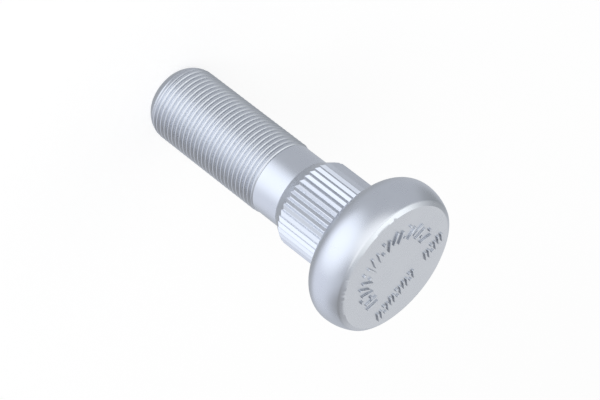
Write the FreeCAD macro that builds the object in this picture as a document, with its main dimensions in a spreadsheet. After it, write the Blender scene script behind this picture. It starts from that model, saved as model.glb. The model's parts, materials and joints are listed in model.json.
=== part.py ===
import FreeCAD, Part
import math
import os

import Sketcher

# Press-in wheel bolt: a forged bun head with a flat face, a straight-knurled neck that is pressed
# into the hub, a plain shank rolled down to the pitch diameter, and a rolled fine thread, M22 x 1.5.
# It stands on its thread end with the head up. The origin is the middle of the end face.

sizes = [
    ("overall_length", 86.4, "end face to head face"),
    ("head_thickness", 14.4, "head face to the seat under the head"),
    ("head_diameter", 43.8, "at the widest point of the bun"),
    ("head_crown", 7.2, "head face to the widest point"),
    ("face_diameter", 37.8, "flat face of the head"),
    ("face_edge_radius", 1.5, "rounding between the face and the side of the bun"),
    ("seat_diameter", 30.8, "flat ring under the head"),
    ("knurl_diameter", 26.0, "over the crests of the knurl"),
    ("knurl_length", 16.4, "seat to the end of the crests"),
    ("knurl_teeth", 42, "teeth round the neck"),
    ("groove_width", 1.75, "knurl groove at the crests"),
    ("groove_root_width", 0.1, "knurl groove at its root"),
    ("groove_depth", 0.62, "knurl groove below the crests"),
    ("shoulder_length", 3.8, "lead-in cone from the shank to the knurl"),
    ("shank_diameter", 21.2, "plain shank, about the thread's pitch diameter"),
    ("thread_diameter", 22.0, "major diameter of the thread"),
    ("thread_length", 42.7, "end face to the last turn"),
    ("runout_length", 0.8, "end of the last turn, from the thread down to the shank"),
    ("end_diameter", 16.8, "flat end face"),
    ("end_length", 5.6, "rounded end of the thread"),
]

same_point = 1e-6

doc = FreeCAD.newDocument("WheelBolt")


def make_sheet():
    sheet = doc.addObject("Spreadsheet::Sheet", "Sizes")
    for row, (alias, value, note) in enumerate(sizes, start=1):
        sheet.set("A%d" % row, alias)
        sheet.set("B%d" % row, str(value))
        sheet.set("C%d" % row, note)
        sheet.setAlias("B%d" % row, alias)
    doc.recompute()
    return sheet


def origin_feature(body, role):
    return next(item for item in body.Origin.OriginFeatures if item.Role == role)


def vector(across, up):
    return FreeCAD.Vector(across, up, 0)


def arc_about(centre, start, end):
    # the shorter arc from start to end, round the given centre
    radius = (start - centre).Length
    middle = ((start - centre).normalize() + (end - centre).normalize()).normalize()
    return Part.Arc(start, centre + middle * radius, end)


def side_by_centre(sketch, arc, point_arc, point_end):
    # an arc whose centre is level with a point starts there upright
    sketch.addConstraint(Sketcher.Constraint("Horizontal", arc, 3, point_arc, point_end))


def distance(sketch, kind, name, first, second, expression):
    # a named driving distance between two points, bound to the sheet
    ends = sketch.getPoint(*second) - sketch.getPoint(*first)
    value = ends.x if kind == "DistanceX" else ends.y
    index = sketch.addConstraint(Sketcher.Constraint(kind, *first, *second, value))
    sketch.renameConstraint(index, name)
    sketch.setExpression("Constraints." + name, expression)


def draw_half_profile(sketch, sheet):
    # half section of the bolt, from the end face up the outside to the head face and back down the axis
    end_radius = sheet.end_diameter / 2
    thread_radius = sheet.thread_diameter / 2
    shank_radius = sheet.shank_diameter / 2
    knurl_radius = sheet.knurl_diameter / 2
    seat_radius = sheet.seat_diameter / 2
    head_radius = sheet.head_diameter / 2
    face_radius = sheet.face_diameter / 2
    top = sheet.overall_length
    seat = top - sheet.head_thickness
    widest = top - sheet.head_crown
    knurl_end = seat - sheet.knurl_length
    edge_radius = sheet.face_edge_radius

    # the rounded end leaves the thread upright, and the bun is upright at its widest point
    inset = thread_radius - end_radius
    end_curve = (inset**2 + sheet.end_length**2) / (2 * inset)
    end_centre = vector(thread_radius - end_curve, sheet.end_length)
    overhang = head_radius - seat_radius
    under_curve = (overhang**2 + (widest - seat)**2) / (2 * overhang)
    under_centre = vector(head_radius - under_curve, widest)

    # the side of the bun touches the edge rounding from inside
    edge_centre = vector(face_radius, top - edge_radius)
    rise = edge_centre.y - widest
    reach = head_radius - face_radius
    side_curve = (reach**2 + rise**2 - edge_radius**2) / (2 * (reach - edge_radius))
    side_centre = vector(head_radius - side_curve, widest)
    touch = edge_centre + (edge_centre - side_centre).normalize() * edge_radius

    corners = [
        vector(0, 0),
        vector(end_radius, 0),
        vector(thread_radius, sheet.end_length),
        vector(thread_radius, sheet.thread_length - sheet.runout_length),
        vector(shank_radius, sheet.thread_length),
        vector(shank_radius, knurl_end - sheet.shoulder_length),
        vector(knurl_radius, knurl_end),
        vector(knurl_radius, seat),
        vector(seat_radius, seat),
        vector(head_radius, widest),
        touch,
        vector(face_radius, top),
        vector(0, top),
    ]
    names = ["end_face", "end_round", "thread", "runout", "shank", "shoulder", "knurl", "seat",
             "bun_under", "bun_side", "face_edge", "head_face", "axis"]
    centres = {
        "end_round": end_centre,
        "bun_under": under_centre,
        "bun_side": side_centre,
        "face_edge": edge_centre,
    }
    edge = {}
    last = {}
    for number, name in enumerate(names):
        start = corners[number]
        end = corners[(number + 1) % len(corners)]
        if name in centres:
            curve = arc_about(centres[name], start, end)
        else:
            curve = Part.LineSegment(start, end)
        edge[name] = sketch.addGeometry(curve, False)
        # an arc runs counter-clockwise, so its second point may be where the outline enters it
        last[name] = 2 if (sketch.getPoint(edge[name], 2) - end).Length < same_point else 1

    def entry(name):
        return edge[name], 3 - last[name]

    def leave(name):
        return edge[name], last[name]

    tangent_after = ["end_round", "bun_under", "bun_side", "face_edge"]
    for name, following in zip(names, names[1:] + names[:1]):
        kind = "Tangent" if name in tangent_after else "Coincident"
        sketch.addConstraint(Sketcher.Constraint(kind, *leave(name), *entry(following)))
    origin = (-1, 1)
    sketch.addConstraint(Sketcher.Constraint("Coincident", *entry("end_face"), *origin))
    for name in ["end_face", "seat", "head_face"]:
        sketch.addConstraint(Sketcher.Constraint("Horizontal", edge[name]))
    for name in ["thread", "shank", "knurl", "axis"]:
        sketch.addConstraint(Sketcher.Constraint("Vertical", edge[name]))
    side_by_centre(sketch, edge["bun_under"], *leave("bun_under"))

    distance(sketch, "DistanceX", "end_radius", origin, leave("end_face"), "Sizes.end_diameter / 2")
    distance(sketch, "DistanceX", "thread_radius", origin, leave("thread"), "Sizes.thread_diameter / 2")
    distance(sketch, "DistanceX", "shank_radius", origin, leave("shank"), "Sizes.shank_diameter / 2")
    distance(sketch, "DistanceX", "knurl_radius", origin, leave("knurl"), "Sizes.knurl_diameter / 2")
    distance(sketch, "DistanceX", "seat_radius", origin, leave("seat"), "Sizes.seat_diameter / 2")
    distance(sketch, "DistanceX", "head_radius", origin, leave("bun_under"), "Sizes.head_diameter / 2")
    distance(sketch, "DistanceX", "face_radius", origin, leave("face_edge"), "Sizes.face_diameter / 2")

    distance(sketch, "DistanceY", "end_length", origin, entry("thread"), "Sizes.end_length")
    distance(sketch, "DistanceY", "thread_length", origin, leave("runout"), "Sizes.thread_length")
    distance(sketch, "DistanceY", "runout_length", entry("runout"), leave("runout"), "Sizes.runout_length")
    distance(sketch, "DistanceY", "shoulder_length", entry("shoulder"), leave("shoulder"),
             "Sizes.shoulder_length")
    distance(sketch, "DistanceY", "knurl_length", entry("knurl"), leave("knurl"), "Sizes.knurl_length")
    distance(sketch, "DistanceY", "head_thickness", entry("seat"), leave("head_face"),
             "Sizes.head_thickness")
    distance(sketch, "DistanceY", "head_crown", leave("bun_under"), leave("head_face"), "Sizes.head_crown")
    distance(sketch, "DistanceY", "overall_length", origin, leave("head_face"), "Sizes.overall_length")

    index = sketch.addConstraint(Sketcher.Constraint("Radius", edge["face_edge"], edge_radius))
    sketch.renameConstraint(index, "face_edge_radius")
    sketch.setExpression("Constraints.face_edge_radius", "Sizes.face_edge_radius")


def draw_groove(sketch, sheet):
    # V-shaped knurl groove with a narrow flat root, carried past the crest by its own depth
    root = sheet.knurl_diameter / 2 - sheet.groove_depth
    outside = sheet.knurl_diameter / 2 + sheet.groove_depth
    root_half = sheet.groove_root_width / 2
    outside_half = sheet.groove_width - root_half
    corners = [
        vector(root, -root_half),
        vector(outside, -outside_half),
        vector(outside, outside_half),
        vector(root, root_half),
    ]
    lines = []
    for start, end in zip(corners, corners[1:] + corners[:1]):
        lines.append(sketch.addGeometry(Part.LineSegment(start, end), False))
    for line, following in zip(lines, lines[1:] + lines[:1]):
        sketch.addConstraint(Sketcher.Constraint("Coincident", line, 2, following, 1))
    outer_edge = lines[1]
    root_edge = lines[3]
    for line in (outer_edge, root_edge):
        sketch.addConstraint(Sketcher.Constraint("Symmetric", line, 1, line, 2, -1))
    origin = (-1, 1)
    distance(sketch, "DistanceX", "root_radius", origin, (root_edge, 2),
             "Sizes.knurl_diameter / 2 - Sizes.groove_depth")
    distance(sketch, "DistanceX", "outside_radius", origin, (outer_edge, 2),
             "Sizes.knurl_diameter / 2 + Sizes.groove_depth")
    distance(sketch, "DistanceY", "root_width", (root_edge, 2), (root_edge, 1), "Sizes.groove_root_width")
    distance(sketch, "DistanceY", "outside_width", (outer_edge, 1), (outer_edge, 2),
             "2 * Sizes.groove_width - Sizes.groove_root_width")


def make_bolt(sheet):
    body = doc.addObject("PartDesign::Body", "wheel_bolt")
    body.Label = "wheel_bolt"

    profile = body.newObject("Sketcher::SketchObject", "HalfProfile")
    profile.AttachmentSupport = [(origin_feature(body, "XZ_Plane"), "")]
    profile.MapMode = "FlatFace"
    draw_half_profile(profile, sheet)
    doc.recompute()

    turned = body.newObject("PartDesign::Revolution", "Turned")
    turned.Profile = profile
    turned.ReferenceAxis = (profile, ["V_Axis"])
    turned.Angle = 360
    doc.recompute()

    groove = body.newObject("Sketcher::SketchObject", "KnurlGroove")
    groove.AttachmentSupport = [(origin_feature(body, "XY_Plane"), "")]
    groove.MapMode = "FlatFace"
    groove.setExpression("AttachmentOffset.Base.z", "Sizes.overall_length - Sizes.head_thickness")
    draw_groove(groove, sheet)
    doc.recompute()

    # each groove runs from the seat down through the lead-in cone
    cut = body.newObject("PartDesign::Pocket", "GrooveCut")
    cut.Profile = groove
    cut.Type = "Length"
    cut.setExpression("Length", "Sizes.knurl_length + Sizes.shoulder_length")
    doc.recompute()

    knurl = body.newObject("PartDesign::PolarPattern", "Knurl")
    knurl.Originals = [cut]
    knurl.Axis = (origin_feature(body, "Z_Axis"), [""])
    knurl.Angle = 360
    knurl.setExpression("Occurrences", "Sizes.knurl_teeth")
    body.Tip = knurl
    doc.recompute()

    # the knurl has to take away one groove's section for each tooth, less the cap above the round wall
    cap = sheet.groove_width**3 / (6 * sheet.knurl_diameter)
    section = sheet.groove_depth * (sheet.groove_width + sheet.groove_root_width) / 2 - cap
    least = section * sheet.knurl_length * math.floor(sheet.knurl_teeth)
    removed = turned.Shape.Volume - body.Shape.Volume
    if removed < least:
        raise RuntimeError("the knurl grooves took away %.1f mm3, less than %.1f" % (removed, least))
    return body


def check_document():
    for item in doc.Objects:
        if "Invalid" in item.State or "Error" in item.State:
            raise RuntimeError("%s failed: %s" % (item.Name, item.State))


def export(body):
    shape = body.Shape
    if shape.isNull() or not shape.isValid() or len(shape.Solids) != 1:
        raise RuntimeError("%s is not one valid solid" % body.Label)
    os.makedirs("parts", exist_ok=True)
    shape.exportStep(os.path.join("parts", body.Label + ".step"))
    box = shape.optimalBoundingBox(True, False)
    print("%s: %.1f x %.1f x %.1f mm, %.0f mm3"
          % (body.Label, box.XLength, box.YLength, box.ZLength, shape.Volume))


sheet = make_sheet()
bolt = make_bolt(sheet)
check_document()
export(bolt)
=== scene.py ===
import bpy
import bmesh
import json
import math
from mathutils import Matrix, Quaternion, Vector


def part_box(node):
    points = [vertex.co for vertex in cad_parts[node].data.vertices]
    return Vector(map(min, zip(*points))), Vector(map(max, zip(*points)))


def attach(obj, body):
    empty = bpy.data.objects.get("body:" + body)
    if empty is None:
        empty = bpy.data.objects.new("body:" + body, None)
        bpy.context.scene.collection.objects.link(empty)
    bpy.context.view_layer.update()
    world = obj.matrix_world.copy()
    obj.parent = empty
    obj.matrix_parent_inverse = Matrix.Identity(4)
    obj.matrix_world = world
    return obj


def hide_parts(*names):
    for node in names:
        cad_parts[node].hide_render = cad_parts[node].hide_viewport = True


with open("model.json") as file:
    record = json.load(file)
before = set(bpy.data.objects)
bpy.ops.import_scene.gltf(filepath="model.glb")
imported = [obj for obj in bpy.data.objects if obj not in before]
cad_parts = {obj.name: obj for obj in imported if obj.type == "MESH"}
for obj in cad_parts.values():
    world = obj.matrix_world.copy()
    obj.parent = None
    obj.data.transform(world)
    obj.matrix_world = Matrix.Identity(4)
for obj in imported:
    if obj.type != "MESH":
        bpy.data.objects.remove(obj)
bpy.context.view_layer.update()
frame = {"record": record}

mm = 0.001                                  # meshes are shaped in millimetres, then scaled once
upAxis = Vector((0, 0, 1))
centre = Vector((0, 0, 0))
mounts = {m["name"]: m for m in frame["record"]["mounts"]}
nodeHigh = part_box("wheel_bolt")[1]

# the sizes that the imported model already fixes
fixed = {
    "length": nodeHigh[2] / mm,
    "headRadius": nodeHigh[0] / mm,
    "seatHeight": mounts["seat"]["pos_m"][2] / mm,
    "threadRadius": mounts["thread"]["dims"]["r_mm"],
}
print("frame loaded: bolt %.1f mm tall, head %.1f mm across" % (fixed["length"], 2 * fixed["headRadius"]))


# small helpers for outlines and turned shapes

def arcPoints(mid, radius, start, end, count):
    points = []
    for step in range(count + 1):
        turn = math.radians(start + (end - start) * step / count)
        points.append((mid[0] + radius * math.cos(turn), mid[1] + radius * math.sin(turn)))
    return points


def chain(bm, points):
    verts = [bm.verts.new((radius, 0, height)) for radius, height in points]
    edges = [bm.edges.new(pair) for pair in zip(verts, verts[1:])]
    return verts + edges


def turn(bm, points, steps):
    # a full turn of an outline of (radius, height) points
    bmesh.ops.spin(bm, geom=chain(bm, points), cent=centre, axis=upAxis, angle=2 * math.pi,
                   steps=steps, use_merge=True)


def openLoop(bm, low, high):
    # the open border edges between two heights
    return [e for e in bm.edges if e.is_boundary and all(low <= v.co.z <= high for v in e.verts)]


def bridge(bm, low, high):
    bmesh.ops.bridge_loops(bm, edges=openLoop(bm, low, high))


def radiusOf(co):
    return math.hypot(co.x, co.y)


def setRadius(v, radius):
    factor = radius / radiusOf(v.co)
    v.co.x *= factor
    v.co.y *= factor


def markSharp(bm, angle, above):
    # edges above a height that bend by more than this stay crisp
    for e in bm.edges:
        if min(v.co.z for v in e.verts) > above and e.calc_face_angle(0) > math.radians(angle):
            e.smooth = False


def finishMesh(bm, name, material):
    bmesh.ops.recalc_face_normals(bm, faces=bm.faces)
    bmesh.ops.scale(bm, vec=(mm, mm, mm), verts=bm.verts)
    mesh = bpy.data.meshes.new(name)
    bm.to_mesh(mesh)
    bm.free()
    mesh.polygons.foreach_set("use_smooth", [True] * len(mesh.polygons))
    piece = bpy.data.objects.new(name, mesh)
    bpy.context.collection.objects.link(piece)
    piece.data.materials.append(material)
    return piece


# zinc plating, satin, with the faint cloudiness of a barrel-plated forging
zinc = {
    "pale": (0.645, 0.665, 0.70, 1),
    "deep": (0.615, 0.635, 0.675, 1),
    "smooth": 0.25,
    "dull": 0.31,
    "cloudScale": 160.0,
    "grainScale": 2600.0,
    "grainBump": 0.05,
}


def makeZinc():
    material = bpy.data.materials.new("zincPlate")
    material.use_nodes = True
    tree = material.node_tree
    nodes, links = tree.nodes, tree.links
    shader = nodes["Principled BSDF"]
    shader.inputs["Metallic"].default_value = 1.0

    place = nodes.new("ShaderNodeTexCoord")
    cloud = nodes.new("ShaderNodeTexNoise")
    cloud.inputs["Scale"].default_value = zinc["cloudScale"]
    cloud.inputs["Detail"].default_value = 5.0
    cloud.inputs["Roughness"].default_value = 0.62
    links.new(place.outputs["Object"], cloud.inputs["Vector"])

    tint = nodes.new("ShaderNodeValToRGB")
    tint.color_ramp.elements[0].position = 0.30
    tint.color_ramp.elements[0].color = zinc["deep"]
    tint.color_ramp.elements[1].position = 0.70
    tint.color_ramp.elements[1].color = zinc["pale"]
    links.new(cloud.outputs["Fac"], tint.inputs["Fac"])
    links.new(tint.outputs["Color"], shader.inputs["Base Color"])

    grain = nodes.new("ShaderNodeTexNoise")
    grain.inputs["Scale"].default_value = zinc["grainScale"]
    grain.inputs["Detail"].default_value = 2.0
    links.new(place.outputs["Object"], grain.inputs["Vector"])

    gloss = nodes.new("ShaderNodeMapRange")
    gloss.inputs["From Min"].default_value = 0.3
    gloss.inputs["From Max"].default_value = 0.7
    gloss.inputs["To Min"].default_value = zinc["smooth"]
    gloss.inputs["To Max"].default_value = zinc["dull"]
    links.new(cloud.outputs["Fac"], gloss.inputs["Value"])
    links.new(gloss.outputs["Result"], shader.inputs["Roughness"])

    bump = nodes.new("ShaderNodeBump")
    bump.inputs["Strength"].default_value = zinc["grainBump"]
    bump.inputs["Distance"].default_value = 0.0001
    links.new(grain.outputs["Fac"], bump.inputs["Height"])
    links.new(bump.outputs["Normal"], shader.inputs["Normal"])
    return material


zincPlate = makeZinc()
print("material made: zinc plate")


# forged bun head, in millimetres; angles are from the side that faces the camera, towards +X
head = {
    "crown": 7.2,               # face to the widest point
    "faceRadius": 18.9,
    "edgeRadius": 1.5,
    "softening": 0.35,          # rounding where the side meets the bevel
    "seatRadius": 15.4,
    "neckGap": 0.4,             # flat ring kept round the knurl
    "steps": 504,
    # where the forging left the bevel wider, as (angle, inwards, half width in degrees)
    "wideSpots": [
        (-17, 0.40, 6),
        (19, 0.75, 7),
        (33, 0.40, 5),
        (62, 0.25, 9),
        (150, 0.35, 10),
        (-120, 0.25, 8),
    ],
    # knocks on the border of the face, as (angle, inwards, down, half width in degrees)
    "knocks": [
        (-30, 0.45, 0.15, 1.5),
        (32, 0.30, 0.12, 1.0),
        (43, 0.25, 0.10, 1.0),
        (47, 0.45, 0.16, 1.4),
        (53, 0.25, 0.10, 1.0),
        (171, 0.40, 0.15, 1.6),
    ],
}


def softCorner(before, corner, after, reach, count):
    # rounds a corner of an outline over the same reach on both sides
    start = Vector(corner) + (Vector(before) - Vector(corner)).normalized() * reach
    end = Vector(corner) + (Vector(after) - Vector(corner)).normalized() * reach
    points = []
    for step in range(count + 1):
        share = step / count
        points.append(tuple(start.lerp(Vector(corner), share).lerp(Vector(corner).lerp(end, share), share)))
    return points


def addHead(bm):
    top = fixed["length"]
    seat = fixed["seatHeight"]
    radius = fixed["headRadius"]
    widest = top - head["crown"]
    edge = head["edgeRadius"]

    overhang = radius - head["seatRadius"]
    underCurve = (overhang**2 + (widest - seat)**2) / (2 * overhang)
    underStart = -math.degrees(math.atan2(widest - seat, head["seatRadius"] - radius + underCurve))

    reach = radius - head["faceRadius"]
    rise = head["crown"] - edge
    sideCurve = (reach**2 + rise**2 - edge**2) / (2 * (reach - edge))
    sideEnd = math.degrees(math.atan2(rise, head["faceRadius"] - radius + sideCurve))
    side = arcPoints((radius - sideCurve, widest), sideCurve, 0, sideEnd, 14)
    border = (head["faceRadius"], top)

    outline = [(knurl["radius"] + head["neckGap"], seat)]
    outline += arcPoints((radius - underCurve, widest), underCurve, underStart, 0, 16)
    outline += side[1:-1]
    outline += softCorner(side[-2], side[-1], border, head["softening"], 5)
    outline += [Vector(side[-1]).lerp(Vector(border), 0.7), border]
    outline += [(head["faceRadius"] * share, top) for share in (0.94, 0.9, 0.8, 0.6, 0.3, 0)]
    turn(bm, outline, head["steps"])

    for v in bm.verts:
        out = radiusOf(v.co)
        if v.co.z > top - 1e-4 and out > head["faceRadius"] - 0.01:
            angle = math.degrees(math.atan2(v.co.x, -v.co.y))
            for middle, inwards, half in head["wideSpots"]:
                out -= inwards * math.exp(-((angle - middle) / half)**2)
            for middle, inwards, down, half in head["knocks"]:
                share = max(0, 1 - abs(angle - middle) / half)
                out -= inwards * share
                v.co.z -= down * share
            setRadius(v, out)
    print("head turned")


# straight knurl: V grooves between narrow flat crests
knurl = {
    "radius": 13.0,
    "length": 16.4,
    "teeth": 42,
    "grooveWidth": 1.75,
    "rootWidth": 0.10,
    "depth": 0.62,
    "crestBevel": 0.05,
    "turn": 1.5,                # degrees that bring a crest to where the photograph shows one
}
shoulder = {
    "length": 3.8,
    "fillet": 0.5,
    "steps": 168,
}
shank = {"radius": 10.6}


def coneHeight(radius):
    # height on the lead-in cone below the knurl
    knurlEnd = fixed["seatHeight"] - knurl["length"]
    slope = shoulder["length"] / (knurl["radius"] - shank["radius"])
    return knurlEnd - (knurl["radius"] - radius) * slope


def addKnurl(bm):
    pitch = 2 * math.pi / knurl["teeth"]
    root = knurl["radius"] - knurl["depth"]
    rootTurn = knurl["rootWidth"] / 2 / root
    crestTurn = knurl["grooveWidth"] / 2 / knurl["radius"]
    section = [
        (root, 0.0),
        (root, rootTurn),
        (knurl["radius"], crestTurn),
        (knurl["radius"], pitch / 2),
        (knurl["radius"], pitch - crestTurn),
        (root, pitch - rootTurn),
        (root, pitch),
    ]
    verts = []
    for radius, angle in section:
        verts.append(bm.verts.new((radius * math.cos(angle), radius * math.sin(angle), coneHeight(radius))))
    edges = [bm.edges.new(pair) for pair in zip(verts, verts[1:])]
    raised = bmesh.ops.extrude_edge_only(bm, edges=edges)["geom"]
    for v in raised:
        if isinstance(v, bmesh.types.BMVert):
            v.co.z = fixed["seatHeight"]
    tooth = list({f for v in verts for f in v.link_faces})

    # the two crest corners are rounded over, as rolling leaves them
    corners = [e for f in tooth for e in f.edges
               if e.verts[0].co.z != e.verts[1].co.z and len(e.link_faces) == 2
               and min(abs(radiusOf(v.co) - knurl["radius"]) for v in e.verts) < 1e-4
               and e.calc_face_angle(0) > 0.3]
    bmesh.ops.bevel(bm, geom=list(set(corners)), offset=knurl["crestBevel"], segments=2, profile=0.5,
                    affect="EDGES", material=-1)
    tooth = [f for f in bm.faces if max(radiusOf(v.co) for v in f.verts) <= knurl["radius"] + 1e-4
             and min(radiusOf(v.co) for v in f.verts) >= root - 1e-4]
    geom = tooth + list({e for f in tooth for e in f.edges}) + list({v for f in tooth for v in f.verts})
    copies = knurl["teeth"] - 1
    bmesh.ops.spin(bm, geom=geom, cent=centre, axis=upAxis, angle=pitch * copies, steps=copies,
                   use_duplicate=True)
    bmesh.ops.remove_doubles(bm, verts=bm.verts, dist=1e-3)
    aligned = Matrix.Rotation(math.radians(knurl["turn"]), 3, "Z")
    bmesh.ops.rotate(bm, cent=centre, matrix=aligned, verts=bm.verts)
    print("knurl rolled: %d teeth" % knurl["teeth"])


def addShank(bm):
    start = knurl["radius"] - knurl["depth"] - 0.2
    slope = math.atan2(knurl["radius"] - shank["radius"], shoulder["length"])
    fillet = shoulder["fillet"]
    corner = coneHeight(shank["radius"])
    reach = fillet * math.tan(slope / 2)
    mid = (shank["radius"] + fillet, corner - reach)
    outline = [(start, coneHeight(start))]
    outline += arcPoints(mid, fillet, 180 - math.degrees(slope), 180, 5)
    outline += [(shank["radius"], thread["length"])]
    turn(bm, outline, shoulder["steps"])
    print("shank turned")


# rolled right-hand thread with rounded crests and narrower rounded roots
thread = {
    "pitch": 1.5,
    "length": 43.0,             # up to the last groove, which ends at the shank
    "crestRadius": 10.97,
    "depth": 0.78,
    "crestShare": 1.30,         # above 1 the crests are wider than the roots
    "points": 14,               # along one pitch
    "runout": 1.0,              # height over which the last crests come down to the shank
    "phaseTurn": -114.0,        # a crest passes phaseHeight at this angle
    "phaseHeight": 0.34,
    "steps": 120,
    "endRadius": 8.4,
    "endLength": 5.6,
}


def endEnvelope(height):
    # rounded end that the first turns fade out of
    if height >= thread["endLength"]:
        return thread["crestRadius"] + 1
    inset = fixed["threadRadius"] - thread["endRadius"]
    curve = (inset**2 + thread["endLength"]**2) / (2 * inset)
    drop = thread["endLength"] - max(height, 0)
    return fixed["threadRadius"] - curve + math.sqrt(curve**2 - drop**2)


def addThread(bm):
    pitch = thread["pitch"]
    turns = math.ceil(thread["length"] / pitch) + 3
    lift = thread["phaseHeight"] - 2 * pitch - pitch * math.radians(thread["phaseTurn"]) / (2 * math.pi)
    outline = []
    for number in range(turns * thread["points"] + 1):
        share = number / thread["points"]
        sunk = (0.5 - 0.5 * math.cos(2 * math.pi * share))**thread["crestShare"]
        outline.append((thread["crestRadius"] - thread["depth"] * sunk, lift + share * pitch))
    # one turn that climbs by one pitch, so that its two ends meet a groove further up
    bmesh.ops.spin(bm, geom=chain(bm, outline), cent=centre, axis=upAxis, angle=2 * math.pi,
                   dvec=(0, 0, pitch / thread["steps"]), steps=thread["steps"])
    bmesh.ops.remove_doubles(bm, verts=bm.verts, dist=1e-3)

    for height, outwards in ((0, -1), (thread["length"], 1)):
        bmesh.ops.bisect_plane(bm, geom=bm.verts[:] + bm.edges[:] + bm.faces[:], dist=1e-5,
                               plane_co=(0, 0, height), plane_no=(0, 0, outwards), clear_outer=True)
    for v in bm.verts:
        left = min(1, (thread["length"] - v.co.z) / thread["runout"])
        crest = shank["radius"] + (thread["crestRadius"] - shank["radius"]) * left * (2 - left)
        setRadius(v, min(radiusOf(v.co), crest, endEnvelope(v.co.z)))
    endRing = openLoop(bm, -0.01, 0.01)
    bmesh.ops.edgenet_fill(bm, edges=endRing)
    print("thread rolled: %d turns" % turns)


def joinMesh(bm, part):
    # takes another bmesh in
    mesh = bpy.data.meshes.new("passing")
    part.to_mesh(mesh)
    part.free()
    bm.from_mesh(mesh)
    bpy.data.meshes.remove(mesh)


def makeBolt():
    bm = bmesh.new()
    for add in (addHead, addKnurl, addShank, addThread):
        part = bmesh.new()
        add(part)
        bmesh.ops.remove_doubles(part, verts=part.verts, dist=1e-3)
        joinMesh(bm, part)
    seat = fixed["seatHeight"]
    bridge(bm, seat - 0.01, seat + 0.01)
    bridge(bm, coneHeight(shank["radius"]) + 1, seat - 1)
    bridge(bm, thread["length"] - 0.01, thread["length"] + 0.01)
    openEdges = [e for e in bm.edges if not e.is_manifold]
    print("bolt joined: %d faces, %d open edges" % (len(bm.faces), len(openEdges)))
    markSharp(bm, 24, thread["length"] - 0.1)
    return finishMesh(bm, "wheel_bolt_body", zincPlate)


bolt = makeBolt()
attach(bolt, "root")
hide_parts("wheel_bolt")


# raised plain marks on the face: leaning bars and studs, round one half and in a row across the other
marks = {
    "height": 0.58,
    "sunk": 0.10,
    "stroke": 0.66,
    "slant": -24.0,             # degrees that every mark leans
    "bevel": 0.17,
    "arcRadius": 11.2,
    "arcStart": -98.0,
    "arcEnd": 94.0,
    "arcCount": 10,
    "arcTall": 4.0,
    "arcWide": 2.7,
    "rowPlace": 8.8,
    "rowTall": 3.2,
    "rowWide": 1.9,
    "rowSpots": [12.6, 9.9, 7.2, 4.5, 1.8, -0.9, -7.6, -10.3, -13.0],
}


def addBar(bm, place, long, wide):
    # a bevelled bar; place turns it and puts it on the face
    tall = marks["height"] + marks["sunk"]
    lift = Matrix.Translation((0, 0, fixed["length"] - marks["sunk"] + tall / 2))
    shape = Matrix.Diagonal((wide, long, tall, 1))
    verts = bmesh.ops.create_cube(bm, size=1, matrix=place @ lift @ shape)["verts"]
    edges = list({e for v in verts for e in v.link_edges})
    bmesh.ops.bevel(bm, geom=edges, offset=marks["bevel"], segments=2, profile=0.5, affect="EDGES",
                    material=-1)


def addMark(bm, place, tall, wide, number):
    # two long bars, or a long bar and two studs, by turns
    place = place @ Matrix.Rotation(math.radians(marks["slant"]), 4, "Z")
    apart = (wide - marks["stroke"]) / 2
    addBar(bm, place @ Matrix.Translation((-apart, 0, 0)), tall, marks["stroke"])
    if number % 2:
        addBar(bm, place @ Matrix.Translation((apart, 0, 0)), tall, marks["stroke"])
    else:
        for side in (-1, 1):
            spot = Matrix.Translation((apart, side * (tall - marks["stroke"]) / 2, 0))
            addBar(bm, place @ spot, marks["stroke"], marks["stroke"] * 1.3)


def makeMarks():
    bm = bmesh.new()
    step = (marks["arcEnd"] - marks["arcStart"]) / (marks["arcCount"] - 1)
    for number in range(marks["arcCount"]):
        angle = math.radians(marks["arcStart"] + step * number)
        place = Matrix.Rotation(angle, 4, "Z") @ Matrix.Translation((0, -marks["arcRadius"], 0))
        addMark(bm, place, marks["arcTall"], marks["arcWide"], number)
    for number, along in enumerate(marks["rowSpots"]):
        place = Matrix.Translation((along, marks["rowPlace"], 0))
        addMark(bm, place, marks["rowTall"], marks["rowWide"], number + 1)
    markSharp(bm, 40, 0)
    print("marks raised: %d in the arc, %d in the row" % (marks["arcCount"], len(marks["rowSpots"])))
    return finishMesh(bm, "head_marks", zincPlate)


headMarks = makeMarks()
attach(headMarks, "root")


# pale floor, white to the camera but for the bolt's soft shadow; the metal looks past it at the surround
floor = {
    "size": 6.0,
    "drop": 0.0001,
    "white": (1, 1, 1, 1),
    "pale": (0.8, 0.8, 0.8, 1),
    "shadowShare": 0.36,
    "cameraGlow": 0.745,
}


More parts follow.
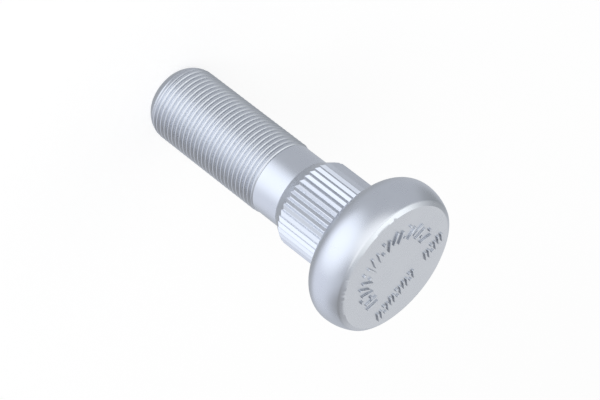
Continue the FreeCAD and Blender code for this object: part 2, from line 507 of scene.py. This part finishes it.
def makeFloor():
    bm = bmesh.new()
    bmesh.ops.create_grid(bm, x_segments=1, y_segments=1, size=floor["size"] / 2)
    bmesh.ops.translate(bm, vec=(0, 0, -floor["drop"]), verts=bm.verts)
    mesh = bpy.data.meshes.new("floor")
    bm.to_mesh(mesh)
    bm.free()
    piece = bpy.data.objects.new("floor", mesh)
    bpy.context.collection.objects.link(piece)

    material = bpy.data.materials.new("paleFloor")
    material.use_nodes = True
    nodes, links = material.node_tree.nodes, material.node_tree.links
    nodes.remove(nodes["Principled BSDF"])
    path = nodes.new("ShaderNodeLightPath")

    pale = nodes.new("ShaderNodeBsdfDiffuse")
    pale.inputs["Color"].default_value = floor["pale"]
    passing = nodes.new("ShaderNodeBsdfTransparent")
    toMetal = nodes.new("ShaderNodeMixShader")
    mirrored = nodes.new("ShaderNodeMath")
    mirrored.operation = "MAXIMUM"
    links.new(path.outputs["Is Glossy Ray"], mirrored.inputs[0])
    links.new(path.outputs["Is Transmission Ray"], mirrored.inputs[1])
    links.new(mirrored.outputs["Value"], toMetal.inputs["Fac"])
    links.new(pale.outputs["BSDF"], toMetal.inputs[1])
    links.new(passing.outputs["BSDF"], toMetal.inputs[2])

    shade = nodes.new("ShaderNodeBsdfDiffuse")
    shade.inputs["Color"].default_value = [floor["shadowShare"]] * 3 + [1]
    glow = nodes.new("ShaderNodeEmission")
    glow.inputs["Color"].default_value = floor["white"]
    glow.inputs["Strength"].default_value = floor["cameraGlow"]
    seen = nodes.new("ShaderNodeAddShader")
    links.new(shade.outputs["BSDF"], seen.inputs[0])
    links.new(glow.outputs["Emission"], seen.inputs[1])
    toCamera = nodes.new("ShaderNodeMixShader")
    links.new(path.outputs["Is Camera Ray"], toCamera.inputs["Fac"])
    links.new(toMetal.outputs["Shader"], toCamera.inputs[1])
    links.new(seen.outputs["Shader"], toCamera.inputs[2])
    links.new(toCamera.outputs["Shader"], nodes["Material Output"].inputs["Surface"])
    piece.data.materials.append(material)


makeFloor()


# white surround; in the metal it is a pale studio with a bright side towards the camera
surround = {
    "white": (1, 1, 1, 1),
    "light": 0.55,
    "inMetal": (0.63, 0.655, 0.705, 1),
    "patches": [
        {"azimuth": -12, "elevation": -36, "inner": 10, "outer": 66, "colour": (0.97, 1.01, 1.12, 1)},
        {"azimuth": -72, "elevation": -20, "inner": 8, "outer": 54, "colour": (1.50, 1.57, 1.70, 1)},
        {"azimuth": -108, "elevation": 52, "inner": 24, "outer": 52, "colour": (1.44, 1.46, 1.48, 1)},
        {"azimuth": 160, "elevation": 68, "inner": 14, "outer": 44, "colour": (1.18, 1.22, 1.22, 1)},
        {"azimuth": 92, "elevation": 32, "inner": 12, "outer": 48, "colour": (0.85, 0.86, 0.875, 1)},
        {"azimuth": 22, "elevation": 26, "inner": 10, "outer": 42, "colour": (0.40, 0.405, 0.42, 1)},
        {"azimuth": 132, "elevation": 6, "inner": 6, "outer": 34, "colour": (0.40, 0.42, 0.44, 1)},
        {"azimuth": 80, "elevation": -66, "inner": 16, "outer": 46, "colour": (0.50, 0.52, 0.55, 1)},
    ],
}


def makeSurround():
    world = bpy.data.worlds.new("surround")
    bpy.context.scene.world = world
    world.use_nodes = True
    nodes, links = world.node_tree.nodes, world.node_tree.links
    plain = nodes["Background"]
    plain.inputs["Color"].default_value = surround["white"]
    plain.inputs["Strength"].default_value = surround["light"]

    # soft round patches over an even tone, each by its angle from the mirrored ray
    ray = nodes.new("ShaderNodeNewGeometry")
    tone = nodes.new("ShaderNodeRGB")
    tone.outputs["Color"].default_value = surround["inMetal"]
    tone = tone.outputs["Color"]
    for patch in surround["patches"]:
        side = math.radians(patch["azimuth"])
        rise = math.radians(patch["elevation"])
        angle = nodes.new("ShaderNodeVectorMath")
        angle.operation = "DOT_PRODUCT"
        angle.inputs[1].default_value = (-math.cos(side) * math.cos(rise), -math.sin(side) * math.cos(rise),
                                         -math.sin(rise))
        links.new(ray.outputs["Incoming"], angle.inputs[0])
        soft = nodes.new("ShaderNodeMapRange")
        soft.interpolation_type = "SMOOTHSTEP"
        soft.inputs["From Min"].default_value = math.cos(math.radians(patch["outer"]))
        soft.inputs["From Max"].default_value = math.cos(math.radians(patch["inner"]))
        links.new(angle.outputs["Value"], soft.inputs["Value"])
        mix = nodes.new("ShaderNodeMix")
        mix.data_type = "RGBA"
        links.new(soft.outputs["Result"], mix.inputs["Factor"])
        links.new(tone, mix.inputs["A"])
        mix.inputs["B"].default_value = patch["colour"]
        tone = mix.outputs["Result"]
    metal = nodes.new("ShaderNodeBackground")
    links.new(tone, metal.inputs["Color"])

    white = nodes.new("ShaderNodeBackground")
    white.inputs["Color"].default_value = surround["white"]
    path = nodes.new("ShaderNodeLightPath")
    first = nodes.new("ShaderNodeMixShader")
    links.new(path.outputs["Is Glossy Ray"], first.inputs["Fac"])
    links.new(plain.outputs["Background"], first.inputs[1])
    links.new(metal.outputs["Background"], first.inputs[2])
    seen = nodes.new("ShaderNodeMath")
    seen.operation = "MAXIMUM"
    links.new(path.outputs["Is Camera Ray"], seen.inputs[0])
    links.new(path.outputs["Is Transmission Ray"], seen.inputs[1])
    second = nodes.new("ShaderNodeMixShader")
    links.new(seen.outputs["Value"], second.inputs["Fac"])
    links.new(first.outputs["Shader"], second.inputs[1])
    links.new(white.outputs["Background"], second.inputs[2])
    links.new(second.outputs["Shader"], nodes["World Output"].inputs["Surface"])


makeSurround()


# soft boxes: one overhead, and one beside the camera that only lights the floor
lamps = [
    {"name": "overhead", "place": (-0.34, 0.12, 0.90), "size": 0.6, "power": 0.45, "inMetal": True},
    {"name": "besideCamera", "place": (0.18, -0.85, 0.75), "size": 0.6, "power": 2.8, "inMetal": False},
]


def makeLamps():
    aim = Vector((0, 0, 0.05))
    for lamp in lamps:
        data = bpy.data.lights.new(lamp["name"], "AREA")
        data.size = lamp["size"]
        data.energy = lamp["power"]
        obj = bpy.data.objects.new(lamp["name"], data)
        obj.location = lamp["place"]
        obj.rotation_euler = (aim - Vector(lamp["place"])).to_track_quat("-Z", "Y").to_euler()
        obj.visible_glossy = lamp["inMetal"]
        bpy.context.collection.objects.link(obj)


makeLamps()


# camera of the photograph, rolled so that the standing bolt's head points to the lower right
camera = {
    "lens": 189.0,
    "sensor": 36.0,
    "aim": (0.00145, 0.0, 0.0513),
    "distance": 0.8329,
    "azimuth": -0.115,
    "elevation": 29.74,
    "roll": 127.744,
}


def makeCamera():
    data = bpy.data.cameras.new("camera")
    data.lens = camera["lens"]
    data.sensor_width = camera["sensor"]
    obj = bpy.data.objects.new("camera", data)
    side = math.radians(camera["azimuth"])
    rise = math.radians(camera["elevation"])
    away = Vector((math.sin(side) * math.cos(rise), -math.cos(side) * math.cos(rise), math.sin(rise)))
    obj.location = Vector(camera["aim"]) + away * camera["distance"]
    level = (-away).to_track_quat("-Z", "Y")
    roll = Quaternion((0, 0, 1), math.radians(camera["roll"]))
    obj.rotation_mode = "QUATERNION"
    obj.rotation_quaternion = level @ roll
    bpy.context.collection.objects.link(obj)
    bpy.context.scene.camera = obj


makeCamera()
bpy.context.scene.view_settings.view_transform = "Standard"
print("stage, lamps and camera placed")
